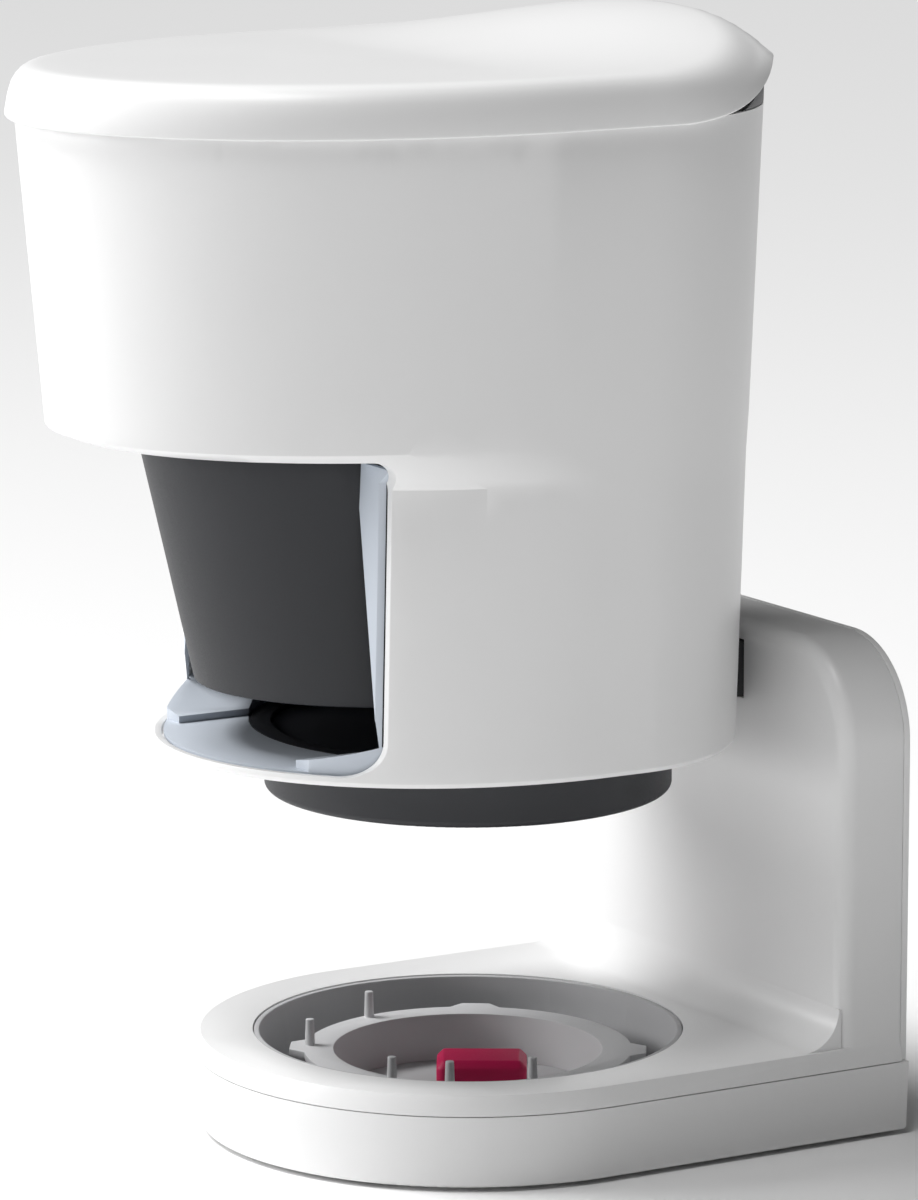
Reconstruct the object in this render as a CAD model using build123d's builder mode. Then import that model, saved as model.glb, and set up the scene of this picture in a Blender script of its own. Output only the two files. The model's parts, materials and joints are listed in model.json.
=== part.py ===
"""Automatic pet feeder, modelled piece by piece.

A low D-shaped base holds the round bowl well. A rear wall rises from it and carries the
head: a food bin with a hinged lid, a front bay with a dark feed funnel, and a round outlet
over the well.

Millimetres. +Z is up, the feeder faces -Y, and the origin is on the floor under the middle
of the whole feeder's bounding box.
"""

import os

from build123d import *

os.makedirs("parts", exist_ok=True)

# ---------------------------------------------------------------- driving dimensions
BASE_HALF = 95.0  # half the base's width, and the radius of its round nose
BASE_BACK = 122.5  # from the outlet axis back to the rear face
LID_FRONT = 168.5  # from the outlet axis forward to the lid's nose
SEAM = 26.5  # height of the seam between the base tray and the housing
DECK = 33.8  # height of the deck around the well
WALL_FRONT = 95.0  # from the outlet axis back to the rear wall's front face
WALL_TOP = 175.0  # height of the rear wall
WELL_RADIUS = 74.4  # bore of the bowl well
OUTLET_RADIUS = 71.4  # round outlet under the head
OUTLET_BOTTOM = 121.0
HEAD_BOTTOM = 141.0
BROW = 257.0  # height where the bin overhangs the bay
RIM = 363.0  # height of the head's top edge
SKIN = 2.5  # moulded wall thickness
GAP = 0.3  # clearance between neighbouring pieces
FUNNEL_LOW = 165.0  # height of the funnel's lower edge, over the bay's floor

# ---------------------------------------------------------------- worked out from those
AXIS_Y = (LID_FRONT - BASE_BACK) / 2  # the outlet axis, measured from the origin
HEAD_BACK = 15.0  # the head is widest this far behind the outlet axis
HINGE_BACK = 87.0  # the lid hinge, behind the outlet axis
HINGE_Z = 377.5


# ---------------------------------------------------------------- planes and outlines
def level(height, back=0.0):
    """A horizontal plane centred on the outlet axis, or behind it."""
    return Plane((0, AXIS_Y + back, height))


def side_plane(across):
    """A plane seen from the +X side: its x runs back, its y runs up."""
    return Plane(origin=(across, AXIS_Y, 0), x_dir=(0, 1, 0), z_dir=(1, 0, 0))


def front_plane(back):
    """A plane seen from the front: its x is the feeder's X, its y runs up."""
    return Plane(origin=(0, AXIS_Y + back, 0), x_dir=(1, 0, 0), z_dir=(0, -1, 0))


def egg(plane, half_width, front, back, run=38.0):
    """An egg outline: half_width to each side, front and back of the plane's origin.

    The sides run straight for a way in front of the origin, then close in a half ellipse.
    """
    with BuildSketch(plane) as outline:
        with BuildLine():
            EllipticalCenterArc((0, -run), half_width, front - run, 180, arc_size=180)
            Line((half_width, -run), (half_width, 0))
            EllipticalCenterArc((0, 0), half_width, back, 0, arc_size=180)
            Line((-half_width, 0), (-half_width, -run))
        make_face()
    return outline.sketch


def d_outline(plane, half_width, back):
    """The base's plan: a round nose in front and a straight back."""
    with BuildSketch(plane) as outline:
        with BuildLine():
            Line((-half_width, 0), (-half_width, back))
            Line((-half_width, back), (half_width, back))
            Line((half_width, back), (half_width, 0))
            CenterArc((0, 0), half_width, 0, -180)
        make_face()
    return outline.sketch


def head_sections(inset, low, high, drop=0.0):
    """Outlines of the head from its bottom to its rim, inset by a wall thickness."""
    return [
        egg(level(low, HEAD_BACK), 95.5 - inset, 128 - inset, 74 - inset, run=16),
        egg(level(BROW - 14 + drop, HEAD_BACK), 97 - inset, 134 - inset, 77.6 - inset, run=16),
        egg(level(BROW + drop, HEAD_BACK), 98 - inset, 170 - inset, 78.4 - inset),
        egg(level(high, HEAD_BACK), 103 - inset, 180 - inset, 82 - inset),
    ]


def stack(sections):
    """A solid with straight sides through the outlines, one above another."""
    with BuildPart() as pile:
        for lower, upper in zip(sections, sections[1:]):
            loft(sections=[lower, upper], ruled=True)
    return pile.part


def funnel_sections(inset):
    """Outlines of the feed funnel, from its open lower edge to its wide mouth."""
    return [
        egg(level(FUNNEL_LOW, 5), 72 - inset, 106 - inset, 68 - inset, run=10),
        egg(level(250, HEAD_BACK), 73 - inset, 138 - inset, 67 - inset, run=20),
    ]


def save(piece, name):
    piece.part.label = name
    export_step(piece.part, f"parts/{name}.step")


# ---------------------------------------------------------------- base
FOOT_SPOTS = [(-68, 100), (68, 100), (-62, -40), (62, -40)]
BOSS_SPOTS = [(-84, 60), (84, 60), (-84, 5), (84, 5), (0, -83.5)]

with BuildPart() as base_tray:
    loft(
        sections=[
            d_outline(level(1.5), BASE_HALF, BASE_BACK),
            d_outline(level(SEAM), BASE_HALF + 1.2, BASE_BACK),
        ],
        ruled=True,
    )
    fillet(base_tray.faces().sort_by(Axis.Z)[0].edges(), 1.5)
    loft(
        sections=[
            d_outline(level(4), BASE_HALF - SKIN, BASE_BACK - SKIN),
            d_outline(level(SEAM), BASE_HALF + 1.2 - SKIN, BASE_BACK - SKIN),
        ],
        ruled=True,
        mode=Mode.SUBTRACT,
    )
    with BuildSketch(level(3)):
        with Locations(*BOSS_SPOTS):
            Circle(4.5)
    extrude(amount=SEAM - 3 - 1)
    with BuildSketch(level(1.5)):
        with Locations(*BOSS_SPOTS):
            Circle(3.4)
    extrude(amount=7, mode=Mode.SUBTRACT)
    with BuildSketch(level(1.5)):
        with Locations(*BOSS_SPOTS):
            Circle(1.7)
    extrude(amount=SEAM, mode=Mode.SUBTRACT)
    with BuildSketch(level(1.5)):
        with Locations(*FOOT_SPOTS):
            Circle(9.2)
    extrude(amount=1.0, mode=Mode.SUBTRACT)
save(base_tray, "base_tray")

with BuildPart() as foot_pads:
    with BuildSketch(level(0)):
        with Locations(*FOOT_SPOTS):
            Circle(9.0)
    extrude(amount=2.5)
    chamfer(foot_pads.faces().group_by(Axis.Z)[0].edges(), 0.5)
save(foot_pads, "foot_pads")

with BuildPart() as base_screws:
    with BuildSketch(level(6.3)):
        with Locations(*BOSS_SPOTS):
            Circle(3.0)
    extrude(amount=2.2)
    with BuildSketch(level(6.3)):
        with Locations(*BOSS_SPOTS):
            RegularPolygon(1.4, 6)
    extrude(amount=1.2, mode=Mode.SUBTRACT)
    with BuildSketch(level(8.5)):
        with Locations(*BOSS_SPOTS):
            Circle(1.5)
    extrude(amount=SEAM - 6)
save(base_screws, "base_screws")

# ---------------------------------------------------------------- housing and rear wall
WALL_CORNER = 35.0
COVER_T = 2.5
SEAM_GAP = 0.4
COVE = 14.0
WALL_EDGE = 6.0
HOLLOW_BACK = BASE_BACK - COVER_T - GAP
WALL_SIDE = BASE_HALF - 0.5
WALL_SKIN = 3.5
NECK_Z = 158.0
NECK_WIDE = 60.0
NECK_TALL = 20.0
NECK_SCREWS = [(-37, NECK_Z), (37, NECK_Z)]


def wall_outline(plane, half_width, low, top, corner):
    """The rear wall's front view: square below, with two round top corners."""
    with BuildSketch(plane) as outline:
        with Locations((0, (low + top) / 2)):
            Rectangle(2 * half_width, top - low)
        fillet(outline.vertices().group_by(Axis.Y)[-1], corner)
    return outline.sketch


with BuildPart() as base_housing:
    slab = wall_outline(front_plane(WALL_FRONT), WALL_SIDE, SEAM + 2, WALL_TOP, WALL_CORNER)
    extrude(slab, amount=-(HOLLOW_BACK - WALL_FRONT))
    wall_face = base_housing.faces().sort_by(Axis.Y)[0]
    fillet(wall_face.edges().filter_by(lambda edge: edge.center().Z > DECK + 1), WALL_EDGE)
    loft(
        sections=[
            d_outline(level(SEAM + SEAM_GAP), BASE_HALF + 1.2, HOLLOW_BACK),
            d_outline(level(DECK), WALL_SIDE, HOLLOW_BACK),
        ],
        ruled=True,
    )
    cove_end = WALL_SIDE - 1.5
    with BuildSketch(side_plane(-cove_end)):
        with BuildLine():
            Line((WALL_FRONT - COVE, DECK), (WALL_FRONT - COVE, DECK - 1))
            Line((WALL_FRONT - COVE, DECK - 1), (WALL_FRONT + 1, DECK - 1))
            Line((WALL_FRONT + 1, DECK - 1), (WALL_FRONT + 1, DECK + COVE))
            Line((WALL_FRONT + 1, DECK + COVE), (WALL_FRONT, DECK + COVE))
            RadiusArc((WALL_FRONT, DECK + COVE), (WALL_FRONT - COVE, DECK), COVE)
        make_face()
    extrude(amount=2 * cove_end)
    hollow = wall_outline(
        front_plane(HOLLOW_BACK + 1),
        WALL_SIDE - WALL_SKIN,
        SEAM,
        WALL_TOP - WALL_SKIN,
        WALL_CORNER - WALL_SKIN,
    )
    extrude(hollow, amount=HOLLOW_BACK + 1 - WALL_FRONT - WALL_SKIN, mode=Mode.SUBTRACT)
    loft(
        sections=[
            d_outline(level(SEAM), BASE_HALF - SKIN, WALL_FRONT + 6),
            d_outline(level(DECK - SKIN), BASE_HALF - SKIN - 1.8, WALL_FRONT + 6),
        ],
        ruled=True,
        mode=Mode.SUBTRACT,
    )
    with BuildSketch(level(SEAM + SEAM_GAP)):
        with Locations(*BOSS_SPOTS):
            Circle(4.0)
    extrude(amount=DECK - SKIN - SEAM)
    with BuildSketch(level(SEAM)):
        with Locations(*BOSS_SPOTS):
            Circle(1.55)
    extrude(amount=3.5, mode=Mode.SUBTRACT)
    with BuildSketch(level(SEAM - 1)):
        Circle(WELL_RADIUS + 1.6)
    extrude(amount=20, mode=Mode.SUBTRACT)
    with BuildSketch(front_plane(WALL_FRONT + WALL_SKIN + 1)):
        with Locations((0, NECK_Z)):
            Rectangle(NECK_WIDE + 1, NECK_TALL + 1)
    extrude(amount=10, mode=Mode.SUBTRACT)
    with BuildSketch(front_plane(WALL_FRONT + WALL_SKIN)):
        with Locations(*NECK_SCREWS):
            Circle(1.5)
    extrude(amount=2.6, mode=Mode.SUBTRACT)
save(base_housing, "base_housing")

# ---------------------------------------------------------------- rear cover
COVER_SCREWS = [(-78, 46), (78, 46), (-76, 134), (76, 134)]
INLET_Z = 50.0
SWITCH_Z = 74.0

with BuildPart() as wall_cover:
    cover_plane = front_plane(BASE_BACK)
    panel = wall_outline(cover_plane, WALL_SIDE, SEAM + SEAM_GAP, WALL_TOP, WALL_CORNER)
    extrude(panel, amount=COVER_T)
    with BuildSketch(cover_plane):
        with Locations(*COVER_SCREWS):
            Circle(1.7)
        with Locations((0, INLET_Z)):
            Circle(4.6)
        with Locations((0, SWITCH_Z)):
            Circle(5.3)
    extrude(amount=COVER_T, mode=Mode.SUBTRACT)
    with BuildSketch(front_plane(BASE_BACK - COVER_T)):
        with Locations(*COVER_SCREWS):
            Circle(4.0)
    extrude(amount=12)
    with BuildSketch(cover_plane):
        with Locations(*COVER_SCREWS):
            Circle(1.25)
    extrude(amount=COVER_T + 12, mode=Mode.SUBTRACT)
save(wall_cover, "wall_cover")

with BuildPart() as cover_screws:
    with BuildSketch(front_plane(BASE_BACK)):
        with Locations(*COVER_SCREWS):
            Circle(1.6)
    extrude(amount=1.6)
    with BuildSketch(front_plane(BASE_BACK - 1.6)):
        with Locations(*COVER_SCREWS):
            Circle(1.2)
    extrude(amount=10)
save(cover_screws, "cover_screws")

# ---------------------------------------------------------------- bowl well
CUP_FLOOR = 7.0
RING_TOP = 26.0
RING_OUTER = 58.0
RING_INNER = 47.5
POST_HEIGHT = 9.4
POST_SPOTS = [(189, 56), (236, 56), (301, 55), (323, 55), (354, 54)]

with BuildPart() as well_cup:
    with BuildSketch(side_plane(0)):
        with BuildLine():
            Polyline(
                (0, CUP_FLOOR),
                (WELL_RADIUS - 1.5, CUP_FLOOR),
                (WELL_RADIUS + 1.3, DECK - 0.4),
                (WELL_RADIUS - 0.7, DECK - 0.4),
                (WELL_RADIUS - 3.3, CUP_FLOOR + 2),
                (0, CUP_FLOOR + 2),
                close=True,
            )
        make_face()
    revolve(axis=Axis((0, AXIS_Y, 0), (0, 0, 1)))
    with BuildSketch(level(CUP_FLOOR)):
        Circle(6.6)
    extrude(amount=2, mode=Mode.SUBTRACT)
save(well_cup, "well_cup")

with BuildPart() as bowl_ring:
    with BuildSketch(level(CUP_FLOOR + 2.0)):
        Circle(RING_INNER + 2)
        Circle(RING_INNER, mode=Mode.SUBTRACT)
    extrude(amount=RING_TOP - CUP_FLOOR - 2.0)
    with BuildSketch(level(RING_TOP)):
        Circle(RING_OUTER)
        with PolarLocations(RING_OUTER, 4, start_angle=57):
            Trapezoid(24, 10, 55, rotation=-90)
        Circle(RING_INNER, mode=Mode.SUBTRACT)
    extrude(amount=-2.5)
    for angle, reach in POST_SPOTS:
        with BuildSketch(level(RING_TOP)):
            with PolarLocations(reach, 1, start_angle=angle):
                Circle(1.8)
        extrude(amount=POST_HEIGHT, taper=2)
save(bowl_ring, "bowl_ring")

BUTTON_SPOT = (-0.5, 6.0)
BUTTON_TOP = 22.5

with BuildPart() as bowl_button:
    with BuildSketch(level(CUP_FLOOR + 5.5) * Pos(*BUTTON_SPOT) * Rot(0, 0, 59)):
        RectangleRounded(32, 22, 3)
    extrude(amount=BUTTON_TOP - CUP_FLOOR - 5.5)
    chamfer(bowl_button.faces().sort_by(Axis.Z)[-1].edges(), 2.4)
    with BuildSketch(level(CUP_FLOOR + 5.5)):
        Circle(3.0)
    extrude(amount=-4.9)
save(bowl_button, "bowl_button")

with BuildPart() as button_spring:
    with BuildSketch(level(CUP_FLOOR + 2.2)):
        Circle(5.5)
        Circle(4.2, mode=Mode.SUBTRACT)
    extrude(amount=3.0)
save(button_spring, "button_spring")

with BuildPart() as bowl_switch:
    with BuildSketch(level(4.1)):
        Rectangle(12, 10)
    extrude(amount=0.8)
save(bowl_switch, "bowl_switch")

# ---------------------------------------------------------------- inside the rear wall
with BuildPart() as control_board:
    with BuildSketch(front_plane(BASE_BACK - COVER_T - 14)):
        with Locations((0, 88)):
            Rectangle(110, 60)
    extrude(amount=1.6)
    with BuildSketch(front_plane(BASE_BACK - COVER_T - 15.6)):
        with Locations((-35, 95), (10, 100), (36, 78)):
            Rectangle(16, 12)
    extrude(amount=2.5)
    with BuildSketch(front_plane(BASE_BACK - COVER_T - 6)):
        with Locations((0, SWITCH_Z)):
            Rectangle(6, 6)
    extrude(amount=8)
save(control_board, "control_board")

with BuildPart() as power_inlet:
    with BuildSketch(front_plane(BASE_BACK)):
        with Locations((0, INLET_Z)):
            Circle(4.5)
            Circle(2.8, mode=Mode.SUBTRACT)
    extrude(amount=COVER_T)
    with BuildSketch(front_plane(BASE_BACK - COVER_T)):
        with Locations((0, INLET_Z)):
            Rectangle(11, 11)
            Circle(2.8, mode=Mode.SUBTRACT)
    extrude(amount=9)
    with BuildSketch(front_plane(BASE_BACK - COVER_T - 9)):
        with Locations((0, INLET_Z)):
            Rectangle(11, 11)
    extrude(amount=1.5)
    with BuildSketch(front_plane(BASE_BACK - 1.5)):
        with Locations((0, INLET_Z)):
            Circle(1.0)
    extrude(amount=10.5)
save(power_inlet, "power_inlet")

with BuildPart() as power_button:
    with BuildSketch(front_plane(BASE_BACK)):
        with Locations((0, SWITCH_Z)):
            Circle(5.0)
    extrude(amount=7.0)
    fillet(power_button.faces().sort_by(Axis.Y)[-1].edges(), 0.6)
save(power_button, "power_button")

# ---------------------------------------------------------------- head shell
BAY_LOW = HEAD_BOTTOM + 3.5
BAY_BACK = -74.0
BOTTOM_BEVEL = 1.8
BAY_CORNER = 12.0

with BuildPart() as head_shell:
    underside = head_sections(BOTTOM_BEVEL, HEAD_BOTTOM, RIM)[0]
    add(stack([underside] + head_sections(0, HEAD_BOTTOM + BOTTOM_BEVEL, RIM)))
    cavity = stack(head_sections(SKIN, HEAD_BOTTOM - 1, RIM + 1, drop=2.0))
    add(cavity, mode=Mode.SUBTRACT)
    with BuildSketch(side_plane(-120)):
        with Locations((BAY_BACK - 60, (BAY_LOW + BROW - 3) / 2)):
            Rectangle(120, BROW - 3 - BAY_LOW)
        fillet(vertices().group_by(Axis.X)[-1], BAY_CORNER)
    extrude(amount=240, mode=Mode.SUBTRACT)
    with BuildSketch(front_plane(WALL_FRONT)):
        with Locations((0, NECK_Z)):
            Rectangle(NECK_WIDE + 1, NECK_TALL + 1)
    extrude(amount=40, mode=Mode.SUBTRACT)
save(head_shell, "head_shell")

with BuildPart() as neck_beam:
    flange_plane = front_plane(WALL_FRONT + WALL_SKIN + 3)
    with BuildSketch(flange_plane):
        with Locations((0, NECK_Z)):
            Rectangle(NECK_WIDE, NECK_TALL)
            Rectangle(NECK_WIDE - 6, NECK_TALL - 6, mode=Mode.SUBTRACT)
    extrude(amount=25)
    with BuildSketch(flange_plane):
        with Locations((0, NECK_Z)):
            Rectangle(NECK_WIDE + 28, NECK_TALL)
            Rectangle(NECK_WIDE - 6, NECK_TALL - 6, mode=Mode.SUBTRACT)
        with Locations(*NECK_SCREWS):
            Circle(1.6, mode=Mode.SUBTRACT)
    extrude(amount=3)
save(neck_beam, "neck_beam")

with BuildPart() as neck_screws:
    with BuildSketch(front_plane(WALL_FRONT + WALL_SKIN + 5)):
        with Locations(*NECK_SCREWS):
            Circle(3.0)
    extrude(amount=2.0)
    with BuildSketch(flange_plane):
        with Locations(*NECK_SCREWS):
            Circle(1.5)
    extrude(amount=5.5)
save(neck_screws, "neck_screws")

with BuildPart() as head_floor:
    floor_low = HEAD_BOTTOM + 0.4
    inner = head_sections(SKIN + 2 * GAP, floor_low, RIM)[0]
    extrude(inner, amount=2.0)
    with BuildSketch(level(HEAD_BOTTOM)):
        Circle(OUTLET_RADIUS + 0.4)
    extrude(amount=4, mode=Mode.SUBTRACT)
save(head_floor, "head_floor")

with BuildPart() as outlet_disc:
    with BuildSketch(level(OUTLET_BOTTOM)):
        Circle(OUTLET_RADIUS)
    extrude(amount=143.8 - OUTLET_BOTTOM)
    with BuildSketch(level(143.8)):
        Circle(OUTLET_RADIUS + 5)
    extrude(amount=1.2)
    fillet(outlet_disc.faces().sort_by(Axis.Z)[0].edges(), 2.5)
    with BuildSketch(level(OUTLET_BOTTOM + 2.5)):
        Circle(OUTLET_RADIUS - SKIN)
    extrude(amount=40, mode=Mode.SUBTRACT)
    with BuildSketch(level(OUTLET_BOTTOM - 1)):
        with Locations((0, -32)):
            SlotOverall(56, 36)
    extrude(amount=10, mode=Mode.SUBTRACT)
save(outlet_disc, "outlet_disc")

# ---------------------------------------------------------------- feed funnel
with BuildPart() as feed_funnel:
    add(stack(funnel_sections(0)))
    add(stack(funnel_sections(2.2)), mode=Mode.SUBTRACT)
save(feed_funnel, "feed_funnel")

# ---------------------------------------------------------------- bay liner
RAMP_FOOT = 42.0
RAMP_TOP = 163.0
with BuildPart() as ramps:
    with BuildSketch(front_plane(BAY_BACK - 18)):
        with Locations((0, (144.5 + RAMP_TOP) / 2)):
            Rectangle(200, RAMP_TOP - 144.5)
        with Locations((0, RAMP_TOP)):
            Ellipse(77, RAMP_TOP - 144.5, mode=Mode.SUBTRACT)
        with Locations((0, RAMP_TOP - 4)):
            Rectangle(2 * RAMP_FOOT, 2 * RAMP_TOP, mode=Mode.SUBTRACT)
    extrude(amount=-100)

with BuildPart() as bay_liner:
    floor_plate = head_sections(SKIN + 2 * GAP, 143.8, RIM)[0]
    extrude(floor_plate, amount=1.2)
    for side in (-1, 1):
        with BuildSketch(front_plane(BAY_BACK)):
            with BuildLine():
                Polyline(
                    (side * 69, 144),
                    (side * 68, 163),
                    (side * 58, 232),
                    (side * 57, 238),
                    (side * 46, 250),
                    (side * 96, 250),
                    (side * 96, 144),
                    close=True,
                )
            make_face()
        extrude(amount=2.0)
    add(ramps.part)
    room = stack(head_sections(SKIN + 2 * GAP, 143.8, RIM, drop=2.0)[:3])
    add(room, mode=Mode.INTERSECT)
    with BuildSketch(level(140)):
        Circle(OUTLET_RADIUS + 5.4)
    extrude(amount=24, mode=Mode.SUBTRACT)
    add(stack(funnel_sections(-0.6)), mode=Mode.SUBTRACT)
save(bay_liner, "bay_liner")


# ---------------------------------------------------------------- food bin
BIN_FLOOR = 266.0
BIN_T = 2.0


def bin_sections(inset):
    """Outlines of the food bin, from its mouth over the funnel to its open top."""
    return [
        egg(level(250.5, HEAD_BACK), 74 - inset, 138 - inset, 68 - inset),
        egg(level(255, HEAD_BACK), 78 - inset, 141 - inset, 69 - inset),
        egg(level(BIN_FLOOR, HEAD_BACK), 94 - inset, 164 - inset, 71 - inset),
        egg(level(RIM - 0.6, HEAD_BACK), 99.6 - inset, 176 - inset, 74.6 - inset),
    ]


with BuildPart() as food_bin:
    add(stack(bin_sections(0)))
    add(stack(bin_sections(BIN_T)), mode=Mode.SUBTRACT)
save(food_bin, "food_bin")

# ---------------------------------------------------------------- portioning drive
ROTOR_RADIUS = 66.0
ROTOR_LOW = 124.5
ROTOR_HIGH = 140.5
ROTOR_VANES = 6
SHAFT_RADIUS = 4.0
COVER_LOW = 141.2
MOTOR_LOW = COVER_LOW + 4.0
MOTOR_SPOTS = [(-16, -11), (16, -11), (-16, 11), (16, 11)]

with BuildPart() as portion_rotor:
    with BuildSketch(level(ROTOR_LOW)):
        Circle(ROTOR_RADIUS)
        Circle(ROTOR_RADIUS - 2, mode=Mode.SUBTRACT)
        Circle(11)
        with PolarLocations(ROTOR_RADIUS / 2, ROTOR_VANES):
            Rectangle(ROTOR_RADIUS - 2, 2)
        Circle(SHAFT_RADIUS, mode=Mode.SUBTRACT)
    extrude(amount=ROTOR_HIGH - ROTOR_LOW)
save(portion_rotor, "portion_rotor")

with BuildPart() as rotor_shaft:
    with BuildSketch(level(ROTOR_LOW)):
        Circle(SHAFT_RADIUS)
    extrude(amount=26)
save(rotor_shaft, "rotor_shaft")

with BuildPart() as rotor_cover:
    with BuildSketch(level(COVER_LOW)):
        Circle(OUTLET_RADIUS - SKIN - GAP)
        Circle(7.0, mode=Mode.SUBTRACT)
        with Locations((0, 42)):
            SlotOverall(70, 34, mode=Mode.SUBTRACT)
    extrude(amount=2.0)
    with BuildSketch(level(COVER_LOW + 2.0)):
        with Locations(*MOTOR_SPOTS):
            Circle(3.0)
    extrude(amount=2.0)
    with BuildSketch(level(COVER_LOW)):
        with Locations(*MOTOR_SPOTS):
            Circle(1.3)
    extrude(amount=4.0, mode=Mode.SUBTRACT)
    with BuildSketch(level(COVER_LOW)):
        with Locations(*MOTOR_SPOTS):
            Circle(2.4)
    extrude(amount=1.4, mode=Mode.SUBTRACT)
save(rotor_cover, "rotor_cover")

with BuildPart() as rotor_bush:
    with BuildSketch(level(COVER_LOW)):
        Circle(7.0)
        Circle(SHAFT_RADIUS + 0.05, mode=Mode.SUBTRACT)
    extrude(amount=4.0)
    with BuildSketch(level(COVER_LOW + 2.0)):
        Circle(9.0)
        Circle(SHAFT_RADIUS + 0.05, mode=Mode.SUBTRACT)
    extrude(amount=2.0)
save(rotor_bush, "rotor_bush")

with BuildPart() as gear_motor:
    with BuildSketch(level(MOTOR_LOW)):
        RectangleRounded(40, 30, 4)
    extrude(amount=18.0)
    with BuildSketch(level(MOTOR_LOW + 18.0)):
        with Locations((7, 0)):
            Circle(12)
    extrude(amount=22.0)
    with BuildSketch(level(MOTOR_LOW)):
        Circle(SHAFT_RADIUS + 0.05)
    extrude(amount=9.0, mode=Mode.SUBTRACT)
    with BuildSketch(level(MOTOR_LOW)):
        with Locations(*MOTOR_SPOTS):
            Circle(1.2)
    extrude(amount=5.0, mode=Mode.SUBTRACT)
save(gear_motor, "gear_motor")

with BuildPart() as motor_screws:
    with BuildSketch(level(COVER_LOW)):
        with Locations(*MOTOR_SPOTS):
            Circle(2.2)
    extrude(amount=1.3)
    with BuildSketch(level(COVER_LOW)):
        with Locations(*MOTOR_SPOTS):
            Circle(1.2)
    extrude(amount=8.5)
save(motor_screws, "motor_screws")

with BuildPart() as motor_cap:
    with BuildSketch(level(COVER_LOW + 2.3)):
        RectangleRounded(54, 42, 14)
    extrude(amount=46, taper=3)
    fillet(motor_cap.faces().sort_by(Axis.Z)[-1].edges(), 5)
    with BuildSketch(level(COVER_LOW + 2.3)):
        RectangleRounded(50, 38, 12)
    extrude(amount=43.5, taper=3, mode=Mode.SUBTRACT)
save(motor_cap, "motor_cap")

# ---------------------------------------------------------------- rear deck and hinge
LID_EDGE = 361.6
LID_FLAT = 379.0
LID_HUMP = 392.0
LID_T = 2.4
SWEEP_START = 25.0
SWEEP_MID = (60.0, 366.4)
SWEEP_END = 80.0
SWEEP_Z = 378.4
PIN_RADIUS = 1.6
KNUCKLE = 3.5
DECK_TOP = RIM + 7.8
DECK_DROP = 1.2  # gap between the lid's swept edge and the deck under it
FIXED_LUGS = [(-28, -20), (20, 28)]
LID_KNUCKLES = [(-37, -29), (-16, 16), (29, 37)]


def hinge_cylinder(radius, start, end):
    """A round bar along the hinge axis between two X positions."""
    with BuildPart() as bar:
        with BuildSketch(side_plane(start)):
            with Locations((HINGE_BACK, HINGE_Z)):
                Circle(radius)
        extrude(amount=end - start)
    return bar.part


def rear_edge(drop):
    """The swept-up curve of the lid's rear edge, lowered by drop."""
    return ThreePointArc(
        (SWEEP_START, LID_EDGE - drop),
        (SWEEP_MID[0], SWEEP_MID[1] - drop),
        (SWEEP_END, SWEEP_Z - drop),
    )


def deck_block(inset, drop):
    """The rear deck's solid form: the space under the lid's swept-up edge."""
    with BuildPart() as block:
        with BuildSketch(side_plane(-110)):
            with BuildLine():
                rear_edge(drop)
                Polyline(
                    (SWEEP_END, SWEEP_Z - drop),
                    (110, SWEEP_Z - drop),
                    (110, RIM - 8),
                    (SWEEP_START, RIM - 8),
                    (SWEEP_START, LID_EDGE - drop),
                )
            make_face()
        extrude(amount=220)
        low = RIM + GAP if inset == 0 else RIM - 1
        room = stack(
            [
                egg(level(low, HEAD_BACK), 103 - inset, 180, 82 - inset),
                egg(level(DECK_TOP, HEAD_BACK), 103.2 - inset, 180, 82.2 - inset),
                egg(level(SWEEP_Z, HEAD_BACK), 100 - inset, 178, 78 - inset),
            ]
        )
        add(room, mode=Mode.INTERSECT)
    return block.part


with BuildPart() as deck_hollow:
    add(deck_block(SKIN, DECK_DROP + SKIN))
    with BuildSketch(side_plane(-43)):
        with Locations((HINGE_BACK + 3, HINGE_Z)):
            Rectangle(20, 16)
    extrude(amount=86, mode=Mode.SUBTRACT)

with BuildPart() as rear_deck:
    add(deck_block(0, DECK_DROP))
    add(deck_hollow.part, mode=Mode.SUBTRACT)
    with BuildSketch(side_plane(-40)):
        with Locations((HINGE_BACK + 4, HINGE_Z + 1)):
            Rectangle(18, 11)
    extrude(amount=80, mode=Mode.SUBTRACT)
    for start, end in FIXED_LUGS:
        add(hinge_cylinder(KNUCKLE, start, end))
        with BuildSketch(side_plane(start)):
            with Locations((HINGE_BACK, HINGE_Z - 4)):
                Rectangle(2 * KNUCKLE, 8)
        extrude(amount=end - start)
    add(hinge_cylinder(PIN_RADIUS, -40, 40), mode=Mode.SUBTRACT)
save(rear_deck, "rear_deck")

with BuildPart() as hinge_pin:
    add(hinge_cylinder(PIN_RADIUS, -38, 38))
save(hinge_pin, "hinge_pin")

# ---------------------------------------------------------------- lid
def lid_profile(inset, low):
    """The lid's side view: flat over the bin, a soft hump over the hinge, a swept-up rear edge."""
    top = LID_FLAT - inset
    rear = HINGE_BACK - inset
    with BuildSketch(side_plane(-115)) as outline:
        with BuildLine():
            Line((-190, LID_EDGE - low), (SWEEP_START, LID_EDGE - low))
            rear_edge(low)
            Polyline((SWEEP_END, SWEEP_Z - low), (rear, SWEEP_Z - low), (rear, top + 11))
            Spline(
                (rear, top + 11),
                (66, top + LID_HUMP - LID_FLAT),
                (20, top + 7),
                (-60, top),
                tangents=[(-1, 0.4), (-1, 0)],
            )
            Polyline((-60, top), (-190, top), (-190, LID_EDGE - low))
        make_face()
    return outline.sketch


def lid_sections(inset):
    """Outlines of the lid at its edge and above its top."""
    reach = LID_FRONT + HEAD_BACK - inset
    return [
        egg(level(LID_EDGE - 1, HEAD_BACK), 106.2 - inset, reach, 86 - inset),
        egg(level(LID_HUMP + 2, HEAD_BACK), 105.2 - inset, reach - 1.5, 74 - inset),
    ]


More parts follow.
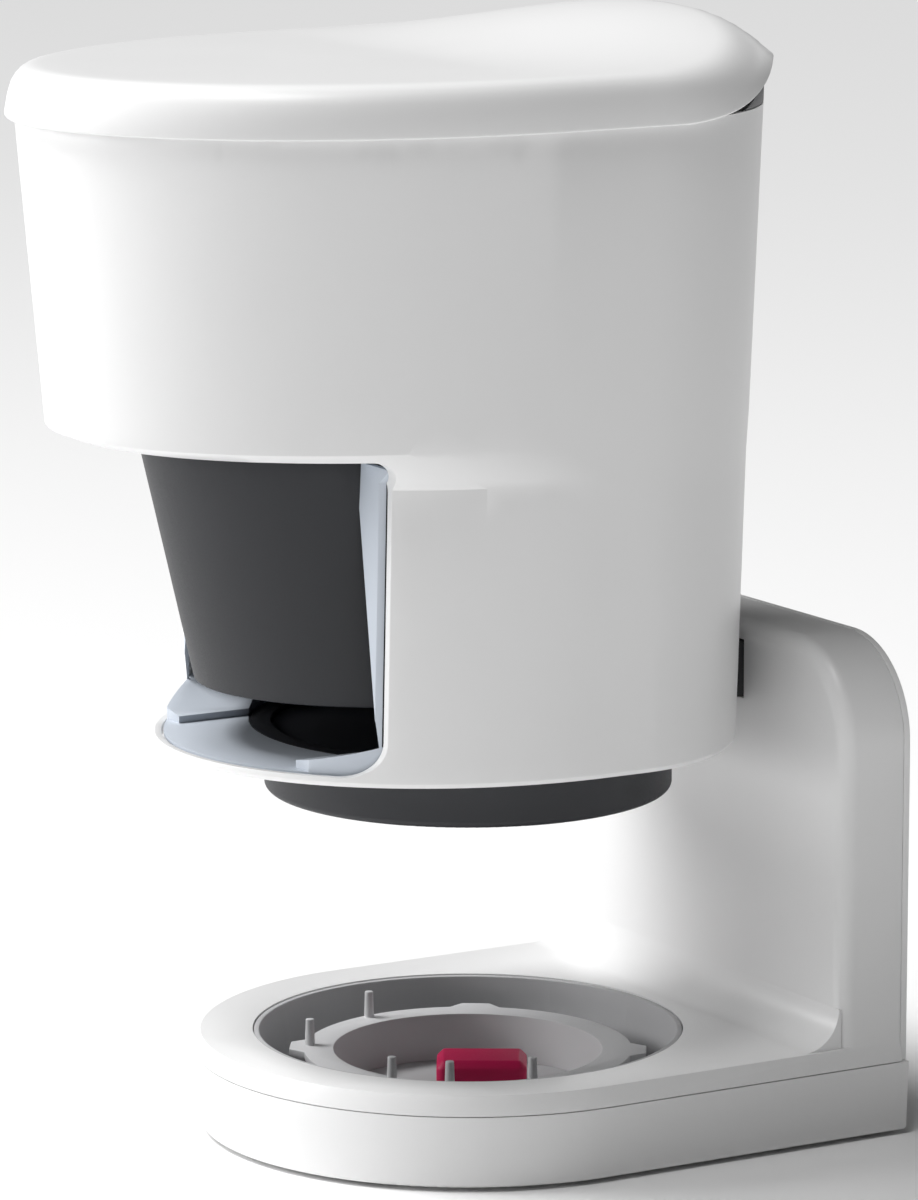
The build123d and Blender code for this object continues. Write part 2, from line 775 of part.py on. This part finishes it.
with BuildPart() as lid_hollow:
    extrude(lid_profile(LID_T, LID_T), amount=230)
    add(stack(lid_sections(LID_T)), mode=Mode.INTERSECT)

with BuildPart() as lid_shell:
    extrude(lid_profile(0, 0), amount=230)
    add(stack(lid_sections(0)), mode=Mode.INTERSECT)
    add(lid_hollow.part, mode=Mode.SUBTRACT)
    for start, end in LID_KNUCKLES:
        add(hinge_cylinder(KNUCKLE, start, end))
    for start, end in FIXED_LUGS:
        add(hinge_cylinder(KNUCKLE + 0.8, start - 0.8, end + 0.8), mode=Mode.SUBTRACT)
    add(hinge_cylinder(PIN_RADIUS + 0.05, -40, 40), mode=Mode.SUBTRACT)
save(lid_shell, "lid_shell")

with BuildPart() as lid_liner:
    liner_low = RIM + 1.2
    extrude(egg(level(liner_low, HEAD_BACK), 97, 172, 74), amount=2.0)
    with BuildSketch(level(liner_low - 1)):
        with Locations((0, SWEEP_START + 57)):
            Rectangle(240, 120)
    extrude(amount=10, mode=Mode.SUBTRACT)
save(lid_liner, "lid_liner")

with BuildPart() as lid_seal:
    seal_low = RIM - 0.4
    extrude(egg(level(seal_low, HEAD_BACK), 96, 171, 73), amount=1.6)
    extrude(egg(level(seal_low, HEAD_BACK), 92, 167, 70), amount=1.6, mode=Mode.SUBTRACT)
    with BuildSketch(level(seal_low)):
        with Locations((0, SWEEP_START + 57)):
            Rectangle(240, 120)
    extrude(amount=3, mode=Mode.SUBTRACT)
save(lid_seal, "lid_seal")
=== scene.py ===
"""Looks of the automatic pet feeder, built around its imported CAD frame."""

import bmesh
import bpy
import json
from math import cos, pi, radians, sin
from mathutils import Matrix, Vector


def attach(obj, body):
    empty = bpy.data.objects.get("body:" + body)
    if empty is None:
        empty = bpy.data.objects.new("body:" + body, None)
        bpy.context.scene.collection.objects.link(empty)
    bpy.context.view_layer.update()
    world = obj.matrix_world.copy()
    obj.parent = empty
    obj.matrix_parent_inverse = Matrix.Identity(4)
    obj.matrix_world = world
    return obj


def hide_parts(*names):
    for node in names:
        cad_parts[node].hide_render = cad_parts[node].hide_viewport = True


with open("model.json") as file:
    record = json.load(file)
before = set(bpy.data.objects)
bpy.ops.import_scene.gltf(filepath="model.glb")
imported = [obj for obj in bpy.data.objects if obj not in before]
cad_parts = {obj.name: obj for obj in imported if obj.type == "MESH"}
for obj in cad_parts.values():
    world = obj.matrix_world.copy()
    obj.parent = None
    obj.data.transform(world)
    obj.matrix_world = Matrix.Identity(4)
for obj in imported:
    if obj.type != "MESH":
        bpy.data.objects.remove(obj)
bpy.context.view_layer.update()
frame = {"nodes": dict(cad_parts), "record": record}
nodes = frame["nodes"]
scene = bpy.context.scene

MM = 0.001  # one millimetre, in metres


# ---------------------------------------------------------------- materials
def new_material(name, color, rough, metallic=0.0, coat=0.0):
    """A principled material and its node tools."""
    material = bpy.data.materials.new(name)
    material.use_nodes = True
    tree = material.node_tree
    shader = tree.nodes["Principled BSDF"]
    shader.inputs["Base Color"].default_value = (*color, 1)
    shader.inputs["Roughness"].default_value = rough
    shader.inputs["Metallic"].default_value = metallic
    shader.inputs["Coat Weight"].default_value = coat
    shader.inputs["Coat Roughness"].default_value = 0.2
    return material, tree, shader


def object_coordinates(tree, scale=(1, 1, 1)):
    """Coordinates in the object's own space, in metres."""
    coordinates = tree.nodes.new("ShaderNodeTexCoord")
    mapping = tree.nodes.new("ShaderNodeMapping")
    mapping.inputs["Scale"].default_value = scale
    tree.links.new(coordinates.outputs["Object"], mapping.inputs["Vector"])
    return mapping.outputs["Vector"]


def noise(tree, vector, scale, detail=3.0):
    """A cloudy 0 to 1 value over the piece."""
    texture = tree.nodes.new("ShaderNodeTexNoise")
    texture.inputs["Scale"].default_value = scale
    texture.inputs["Detail"].default_value = detail
    tree.links.new(vector, texture.inputs["Vector"])
    return texture.outputs["Fac"]


def spread(tree, value, low, high):
    """Maps the middle of a 0 to 1 value into the range low to high."""
    ramp = tree.nodes.new("ShaderNodeMapRange")
    ramp.inputs["From Min"].default_value = 0.3
    ramp.inputs["From Max"].default_value = 0.7
    ramp.inputs["To Min"].default_value = low
    ramp.inputs["To Max"].default_value = high
    tree.links.new(value, ramp.inputs["Value"])
    return ramp.outputs["Result"]


def tint(tree, value, dark, light):
    """A colour between dark and light, by a 0 to 1 value."""
    mix = tree.nodes.new("ShaderNodeMix")
    mix.data_type = "RGBA"
    mix.inputs[6].default_value = (*dark, 1)
    mix.inputs[7].default_value = (*light, 1)
    tree.links.new(value, mix.inputs[0])
    return mix.outputs[2]


def add_bump(tree, shader, height, strength, distance):
    """Gives the shader a relief that follows a height value."""
    bump = tree.nodes.new("ShaderNodeBump")
    bump.inputs["Strength"].default_value = strength
    bump.inputs["Distance"].default_value = distance
    tree.links.new(height, bump.inputs["Height"])
    tree.links.new(bump.outputs["Normal"], shader.inputs["Normal"])


def moulded(name, color, rough, grain=2500.0, depth=0.00003, coat=0.0, vary=0.03):
    """Moulded plastic: a fine spark-eroded grain, faint flow marks and uneven gloss."""
    material, tree, shader = new_material(name, color, rough, coat=coat)
    vector = object_coordinates(tree)
    broad = noise(tree, vector, 14.0)
    fine = noise(tree, vector, grain, 2.0)
    dark = tuple(c * (1 - vary) for c in color)
    light = tuple(min(1.0, c * (1 + vary)) for c in color)
    tree.links.new(tint(tree, spread(tree, broad, 0, 1), dark, light), shader.inputs["Base Color"])
    tree.links.new(spread(tree, fine, rough - 0.05, rough + 0.06), shader.inputs["Roughness"])
    add_bump(tree, shader, fine, 0.25, depth)
    return material


def metal(name, color, rough, stretch=(1, 1, 1), grain=900.0):
    """Bare metal with fine machining or drawing marks."""
    material, tree, shader = new_material(name, color, rough, metallic=1.0)
    vector = object_coordinates(tree, stretch)
    marks = noise(tree, vector, grain, 4.0)
    dark = tuple(c * 0.85 for c in color)
    tree.links.new(tint(tree, marks, dark, color), shader.inputs["Base Color"])
    tree.links.new(spread(tree, marks, rough - 0.08, rough + 0.1), shader.inputs["Roughness"])
    add_bump(tree, shader, marks, 0.3, 0.00002)
    return material


def board_material():
    """Green solder mask over a net of tracks."""
    material, tree, shader = new_material("board", (0.01, 0.12, 0.05), 0.35, coat=0.3)
    vector = object_coordinates(tree)
    tracks = tree.nodes.new("ShaderNodeTexVoronoi")
    tracks.distance = "MANHATTAN"
    tracks.feature = "DISTANCE_TO_EDGE"
    tracks.inputs["Scale"].default_value = 220.0
    tree.links.new(vector, tracks.inputs["Vector"])
    mask = spread(tree, tracks.outputs["Distance"], 1, 0)
    color = tint(tree, mask, (0.01, 0.10, 0.04), (0.03, 0.22, 0.09))
    tree.links.new(color, shader.inputs["Base Color"])
    add_bump(tree, shader, tracks.outputs["Distance"], 0.2, 0.00005)
    return material


MATERIALS = {
    "white_shell": moulded("white_shell", (0.86, 0.86, 0.86), 0.38, coat=0.15, vary=0.01),
    "rubber": moulded("rubber", (0.03, 0.03, 0.032), 0.8, grain=1500.0, depth=0.00006),
    "screw_steel": metal("screw_steel", (0.6, 0.6, 0.62), 0.35),
    "grey_cup": moulded("grey_cup", (0.50, 0.50, 0.51), 0.55, grain=1800.0),
    "light_grey": moulded("light_grey", (0.62, 0.62, 0.63), 0.5, grain=1800.0),
    "crimson": moulded("crimson", (0.62, 0.002, 0.09), 0.5, vary=0.05),
    "spring_steel": metal("spring_steel", (0.5, 0.5, 0.52), 0.3),
    "dark_plastic": moulded("dark_plastic", (0.02, 0.02, 0.022), 0.5),
    "board": board_material(),
    "charcoal": moulded("charcoal", (0.015, 0.016, 0.020), 0.5, vary=0.06),
    "liner_grey": moulded("liner_grey", (0.60, 0.65, 0.72), 0.5),
    "shaft_steel": metal("shaft_steel", (0.62, 0.62, 0.64), 0.2, stretch=(1, 1, 0.05)),
    "brass": metal("brass", (0.7, 0.5, 0.2), 0.35),
    "motor_can": metal("motor_can", (0.5, 0.5, 0.52), 0.4, stretch=(1, 1, 0.1)),
    "deck_grey": moulded("deck_grey", (0.14, 0.14, 0.145), 0.55),
}
SLOT_OF = {row["node"]: row["material_slot"] for row in frame["record"]["subparts"]}


def dress(piece, slot):
    """Gives a piece its slot's material."""
    piece.data.materials.clear()
    piece.data.materials.append(MATERIALS[slot])


for node_name, node_object in nodes.items():
    dress(node_object, SLOT_OF[node_name])


# ---------------------------------------------------------------- finer copies of CAD pieces
def evaluated_mesh(piece):
    """The piece's mesh with its modifiers applied."""
    bpy.context.view_layer.update()
    depsgraph = bpy.context.evaluated_depsgraph_get()
    return bpy.data.meshes.new_from_object(piece.evaluated_get(depsgraph))


def shade(piece, angle=35):
    """Smooth shading that stays crisp at edges sharper than angle."""
    piece.data.shade_smooth()
    edges = bmesh.new()
    edges.from_mesh(piece.data)
    for edge in edges.edges:
        if len(edge.link_faces) == 2:
            edge.smooth = edge.calc_face_angle() < radians(angle)
    edges.to_mesh(piece.data)
    edges.free()


def stand_for(piece, node_name):
    """The piece takes a CAD node's place, body and finish."""
    body = next(b for b, names in frame["record"]["behaviour"]["bodies"].items() if node_name in names)
    dress(piece, SLOT_OF[node_name])
    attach(piece, body)
    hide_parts(node_name)


WELD = 1e-6  # vertices closer than this, in metres, are one
FLAT = 0.3  # faces closer in angle than this, in degrees, are one


def refine(node_name, width, segments=3, angle=32):
    """A copy of a CAD node with its hard edges rounded over."""
    mesh = nodes[node_name].data.copy()
    work = bmesh.new()
    work.from_mesh(mesh)
    bmesh.ops.remove_doubles(work, verts=work.verts, dist=WELD)
    bmesh.ops.dissolve_limit(work, angle_limit=radians(FLAT), verts=work.verts, edges=work.edges)
    work.to_mesh(mesh)
    work.free()
    piece = bpy.data.objects.new("fine_" + node_name, mesh)
    scene.collection.objects.link(piece)
    bevel = piece.modifiers.new("round", "BEVEL")
    bevel.width = width * MM
    bevel.segments = segments
    bevel.limit_method = "ANGLE"
    bevel.angle_limit = radians(angle)
    bevel.use_clamp_overlap = True
    finished = evaluated_mesh(piece)
    piece.modifiers.clear()
    piece.data = finished
    shade(piece)
    stand_for(piece, node_name)
    return piece


# Width of the rounded edge on each copied node, in mm
ROUNDED = {
    "base_housing": 0.8,
    "head_shell": 1.0,
    "rear_deck": 0.6,
    "bay_liner": 0.5,
    "feed_funnel": 0.5,
    "neck_beam": 0.4,
    "wall_cover": 0.5,
    "portion_rotor": 0.3,
    "motor_cap": 0.4,
    "base_tray": 0.8,
    "well_cup": 0.4,
    "bowl_ring": 0.5,
    "bowl_button": 0.6,
    "outlet_disc": 0.5,
}
for node_name, width in ROUNDED.items():
    refine(node_name, width)

# ---------------------------------------------------------------- lid
AXIS_Y = 23.0  # the outlet axis, in mm behind the origin
HEAD_BACK = 15.0  # the head's widest place, behind the outlet axis
LID_EDGE = 361.6  # height of the lid's lower edge
LID_FLAT = 379.0  # height of its flat top
LID_HUMP_RISE = 12.8  # how far the hump rises above the flat
LID_DOME_HALF = 98.0  # half the width over which the hump is domed
HUMP_START = -30.0  # where the hump begins and ends, behind the outlet axis
HUMP_END = 80.0
LID_SKIN = 2.4
LID_HALF = 106.0  # half the lid's width
LID_NOSE = 183.2  # from the head's widest place to the lid's nose
LID_TAIL = 86  # and to the back of the outline, at the lid's edge
TAIL_TAPER = 0.14  # share of that length lost from the edge to the top
REAR_EASE = 0.25  # how far the cut rear end follows each ring's inset
SWEEP_START = 25.0  # where the lower edge begins to rise, behind the outlet axis
SWEEP_END = 80.0
SWEEP_Z = 378.4  # height of the lower edge at the hinge
LID_REAR = 82.4  # the lid's cut rear end, behind the outlet axis
HINGE_BACK = 87.0
HINGE_Z = 377.5
KNUCKLE = 3.5  # radius of a hinge knuckle
BAR_STEPS = 32  # sides of a knuckle's mesh
LID_KNUCKLES = [(-36.9, -29.1), (-15.9, 15.9), (29.1, 36.9)]


def smooth_step(value, low, high):
    """Rises from 0 at low to 1 at high with level ends."""
    share = min(1.0, max(0.0, (value - low) / (high - low)))
    return share * share * (3 - 2 * share)


def egg_ring(half_width, front, back, run=38.0, arc=72, side=6):
    """Points of an egg outline round the head's centre, as the CAD draws it."""
    ring = []
    for step in range(arc):
        angle = pi + pi * step / arc
        ring.append((half_width * cos(angle), -run + (front - run) * sin(angle)))
    for step in range(side):
        ring.append((half_width, -run + run * step / side))
    for step in range(arc):
        angle = pi * step / arc
        ring.append((half_width * cos(angle), back * sin(angle)))
    for step in range(side):
        ring.append((-half_width, -run * step / side))
    return ring


def lid_edge_height(back):
    """Height of the lid's lower edge: level, then swept up in an arc towards the hinge."""
    share = min(1.0, max(0.0, (back - SWEEP_START) / (SWEEP_END - SWEEP_START)))
    return LID_EDGE + (SWEEP_Z - LID_EDGE) * (0.25 * share + 0.75 * share**2.6)


def lid_top_height(across, back):
    """Height of the lid's top: flat over the bin, then a domed hump towards the hinge."""
    rise = LID_HUMP_RISE * smooth_step(back, HUMP_START, HUMP_END)
    dome = 1 - min(1.0, abs(across) / LID_DOME_HALF) ** 2
    return LID_FLAT + rise * dome


def bridge(work, lower, upper):
    """Quads between two closed rings with the same number of vertices."""
    count = len(lower)
    for index in range(count):
        after = (index + 1) % count
        work.faces.new((lower[index], lower[after], upper[after], upper[index]))


# The lid's side from edge to top: share of the height, and inset from the outline in mm
LID_SIDE = [
    (0.00, 0.7), (0.03, 0.15), (0.08, 0.0), (0.45, 1.2), (0.65, 2.3),
    (0.79, 3.7), (0.89, 5.3), (0.955, 7.2), (0.99, 9.6), (1.00, 12.5),
]
# Size of each ring on the lid's top, as a share of the rim
LID_INWARD = [0.93, 0.86, 0.78, 0.68, 0.57, 0.45, 0.32, 0.18, 0.06]


def lid_ring(work, share, inset, thinner=0.0):
    """One ring of the lid's side, share of the way from its edge to its top."""
    ring = []
    taper = 1 - TAIL_TAPER * share
    outline = egg_ring(LID_HALF - inset, LID_NOSE - inset, LID_TAIL * taper - inset)
    for x, y in outline:
        back = min(HEAD_BACK + y, LID_REAR - thinner - REAR_EASE * inset)
        low = lid_edge_height(back)
        high = lid_top_height(x, back) - thinner
        z = low + (high - low) * share
        ring.append(work.verts.new((x * MM, (AXIS_Y + back) * MM, z * MM)))
    return ring


def lid_cap(work, rim, thinner=0.0):
    """Closes the lid's top from a rim ring inwards, following the hump."""
    middle = sum((vertex.co for vertex in rim), Vector()) / len(rim)
    outer = rim
    for share in LID_INWARD:
        ring = []
        for vertex in rim:
            x = middle.x + (vertex.co.x - middle.x) * share
            y = middle.y + (vertex.co.y - middle.y) * share
            z = (lid_top_height(x / MM, y / MM - AXIS_Y) - thinner) * MM
            ring.append(work.verts.new((x, y, z)))
        bridge(work, outer, ring)
        outer = ring
    work.faces.new(outer)


def add_bar(work, radius, start, end):
    """A round bar along the hinge axis, with softened ends."""
    rings = []
    for across, size in ((start, 0.8), (start + 0.5, 1.0), (end - 0.5, 1.0), (end, 0.8)):
        ring = []
        for step in range(BAR_STEPS):
            angle = 2 * pi * step / BAR_STEPS
            y = AXIS_Y + HINGE_BACK + radius * size * cos(angle)
            z = HINGE_Z + radius * size * sin(angle)
            ring.append(work.verts.new((across * MM, y * MM, z * MM)))
        rings.append(ring)
    for lower, upper in zip(rings, rings[1:]):
        bridge(work, lower, upper)
    work.faces.new(reversed(rings[0]))
    work.faces.new(rings[-1])


def add_block(work, low, high):
    """A plain block between two corners in mm: the arm from the lid to a knuckle."""
    corners = [
        work.verts.new((x * MM, y * MM, z * MM))
        for z in (low[2], high[2])
        for x, y in ((low[0], low[1]), (high[0], low[1]), (high[0], high[1]), (low[0], high[1]))
    ]
    for face in ((0, 1, 2, 3), (4, 5, 6, 7), (0, 1, 5, 4), (1, 2, 6, 5), (2, 3, 7, 6), (3, 0, 4, 7)):
        work.faces.new([corners[index] for index in face])


def finished_piece(name, work):
    """A mesh object from a bmesh, its faces turned outwards."""
    bmesh.ops.recalc_face_normals(work, faces=work.faces)
    mesh = bpy.data.meshes.new(name)
    work.to_mesh(mesh)
    work.free()
    piece = bpy.data.objects.new(name, mesh)
    scene.collection.objects.link(piece)
    shade(piece)
    return piece


def lid():
    """The lid as a hollow shell, with its hinge knuckles and their arms."""
    work = bmesh.new()
    outer = [lid_ring(work, share, inset) for share, inset in LID_SIDE]
    for lower, upper in zip(outer, outer[1:]):
        bridge(work, lower, upper)
    lid_cap(work, outer[-1])
    inner = [lid_ring(work, share, inset + LID_SKIN, LID_SKIN) for share, inset in LID_SIDE[1:]]
    bridge(work, outer[0], inner[0])
    for lower, upper in zip(inner, inner[1:]):
        bridge(work, lower, upper)
    lid_cap(work, inner[-1], LID_SKIN)
    for start, end in LID_KNUCKLES:
        add_bar(work, KNUCKLE, start, end)
        low = (start + 0.6, AXIS_Y + LID_REAR - 4, SWEEP_Z + 0.3)
        high = (end - 0.6, AXIS_Y + HINGE_BACK, SWEEP_Z + 1.9)
        add_block(work, low, high)
    stand_for(finished_piece("fine_lid_shell", work), "lid_shell")


lid()

# ---------------------------------------------------------------- floor, light and camera
AZIMUTH = 1.0404  # of the camera round the feeder, from the front, in radians
PITCH = 0.1853  # of the camera above level, in radians
DISTANCE = 2.2767  # from the camera to its target, in metres
TARGET = Vector((-0.0908, 0.0726, 0.1674))
LENS = 186.85  # in mm, for a sensor 36 mm wide
FLOOR_HALF = 30.0  # half the floor's width, in metres


def floor():
    """A wide pale floor, which is stage and not part of the feeder."""
    mesh = bpy.data.meshes.new("floor")
    corners = [(x * FLOOR_HALF, y * FLOOR_HALF, 0) for x, y in ((-1, -1), (1, -1), (1, 1), (-1, 1))]
    mesh.from_pydata(corners, [], [(0, 1, 2, 3)])
    piece = bpy.data.objects.new("floor", mesh)
    scene.collection.objects.link(piece)
    material = new_material("floor", (0.95, 0.95, 0.95), 0.7)[0]
    piece.data.materials.append(material)


def area_light(name, place, aim, size, power):
    """A round soft light at a place, aimed at a point."""
    data = bpy.data.lights.new(name, "AREA")
    data.shape = "DISK"
    data.size = size
    data.energy = power
    light = bpy.data.objects.new(name, data)
    scene.collection.objects.link(light)
    light.location = place
    light.rotation_euler = (Vector(aim) - Vector(place)).to_track_quat("-Z", "Y").to_euler()


def sun_light(name, towards, spread_degrees, power):
    """Daylight that comes from the direction named by towards."""
    data = bpy.data.lights.new(name, "SUN")
    data.angle = radians(spread_degrees)
    data.energy = power
    light = bpy.data.objects.new(name, data)
    scene.collection.objects.link(light)
    light.rotation_euler = Vector(towards).to_track_quat("Z", "Y").to_euler()


def camera():
    """The camera, looking at its target from its azimuth and pitch."""
    data = bpy.data.cameras.new("camera")
    data.sensor_width = 36.0
    data.lens = LENS
    data.clip_end = 100.0
    piece = bpy.data.objects.new("camera", data)
    scene.collection.objects.link(piece)
    away = Vector((sin(AZIMUTH) * cos(PITCH), -cos(AZIMUTH) * cos(PITCH), sin(PITCH)))
    piece.location = TARGET + DISTANCE * away
    piece.rotation_euler = (-away).to_track_quat("-Z", "Y").to_euler()
    scene.camera = piece


floor()
middle = (0, 0, 0.2)
area_light("key", (-1.3, -2.2, 1.1), middle, 1.2, 36)
area_light("top", (0.5, -0.7, 2.4), middle, 0.9, 18)
sun_light("daylight", (-0.6, -0.5, 1.3), 25, 2.6)
world = bpy.data.worlds.new("studio")
scene.world = world
world.use_nodes = True
world.node_tree.nodes["Background"].inputs["Color"].default_value = (1, 1, 1, 1)
world.node_tree.nodes["Background"].inputs["Strength"].default_value = 0.07
scene.view_settings.view_transform = "Standard"
camera()
